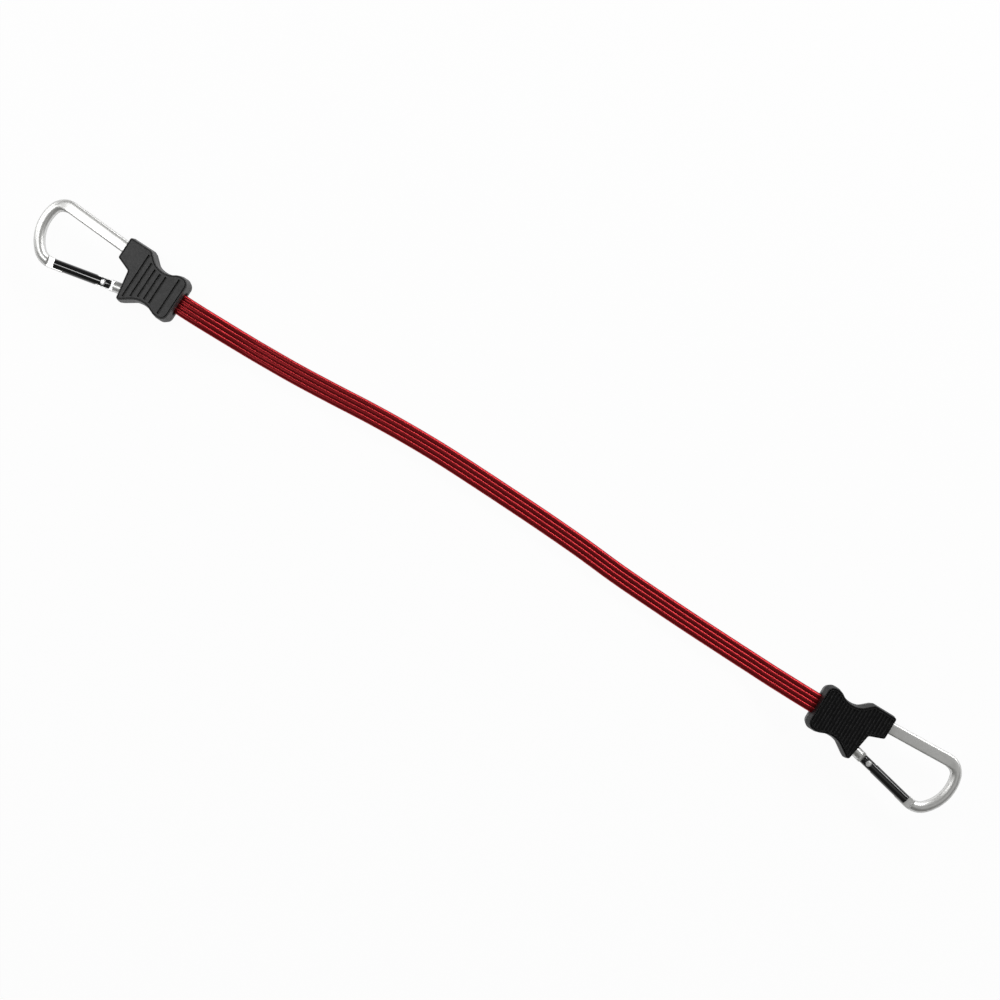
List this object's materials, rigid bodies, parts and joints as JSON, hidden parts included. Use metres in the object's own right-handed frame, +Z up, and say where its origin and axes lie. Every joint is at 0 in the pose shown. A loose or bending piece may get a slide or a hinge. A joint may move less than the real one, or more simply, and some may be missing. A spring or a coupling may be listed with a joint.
{
  "type": "bungee cord",
  "caption": "Flat ribbed elastic cord in a red woven sheath, with a black moulded housing and a silver snap hook with a sprung black gate at each end.",
  "frame": {"origin": "middle of the whole cord's footprint, on the surface that it lies on", "axes": "+X along the cord to the right hook, +Y towards the hooks' spines, +Z up"},
  "size_m": [0.61, 0.0593, 0.016],
  "materials": {
    "satin_aluminium": "bright satin tumbled aluminium",
    "black_plastic": "fine matt moulded texture",
    "steel": "plain bright steel",
    "black_anodised": "gloss black anodised",
    "red_sheath": "tight woven sheath with a slight shine",
    "rubber": "natural latex"
  },
  "bodies": {
    "left_end": {"carabiner_frame_left": "satin_aluminium", "housing_front_shell_left": "black_plastic", "housing_back_shell_left": "black_plastic", "strap_crimp_left": "steel", "strap_end_loop_left": "red_sheath", "strap_sheath": "red_sheath", "rubber_strand_1": "rubber", "rubber_strand_2": "rubber", "rubber_strand_3": "rubber", "rubber_strand_4": "rubber"},
    "left_gate": {"gate_left": "black_anodised", "gate_pivot_rivet_left": "steel", "gate_spring_left": "steel"},
    "left_plunger": {"gate_plunger_left": "steel"},
    "right_end": {"carabiner_frame_right": "satin_aluminium", "housing_front_shell_right": "black_plastic", "housing_back_shell_right": "black_plastic", "strap_crimp_right": "steel", "strap_end_loop_right": "red_sheath"},
    "right_gate": {"gate_right": "black_anodised", "gate_pivot_rivet_right": "steel", "gate_spring_right": "steel"},
    "right_plunger": {"gate_plunger_right": "steel"}
  },
  "joints": [
    {"name": "strap_stretch", "type": "slide", "parent": "left_end", "child": "right_end", "axis": [1, 0, 0], "range_m": [0, 0.25], "stiffness_N_per_m": 150, "deforming": ["strap_sheath", "rubber_strand_1", "rubber_strand_2", "rubber_strand_3", "rubber_strand_4"]},
    {"name": "left_gate_swing", "type": "hinge", "parent": "left_end", "child": "left_gate", "pos_m": [-0.25532, -0.00107, 0.008], "axis": [0, 0, -1], "range_deg": [0, 30], "stiffness_Nm_per_rad": 0.02, "springref_deg": -11.46},
    {"name": "left_plunger_travel", "type": "slide", "parent": "left_gate", "child": "left_plunger", "axis": [-0.9861, -0.1664, 0], "range_m": [0, 0.001], "deforming": ["gate_spring_left"]},
    {"name": "right_gate_swing", "type": "hinge", "parent": "right_end", "child": "right_gate", "pos_m": [0.25434, -0.0186, 0.008], "axis": [0, 0, 1], "range_deg": [0, 30], "stiffness_Nm_per_rad": 0.02, "springref_deg": -11.46},
    {"name": "right_plunger_travel", "type": "slide", "parent": "right_gate", "child": "right_plunger", "axis": [0.9702, -0.2422, 0], "range_m": [0, 0.001], "deforming": ["gate_spring_right"]}
  ],
  "couplings": [
    {"joint": "left_plunger_travel", "follows": "left_gate_swing", "m_per_rad": 0.0019},
    {"joint": "right_plunger_travel", "follows": "right_gate_swing", "m_per_rad": 0.0019}
  ]
}
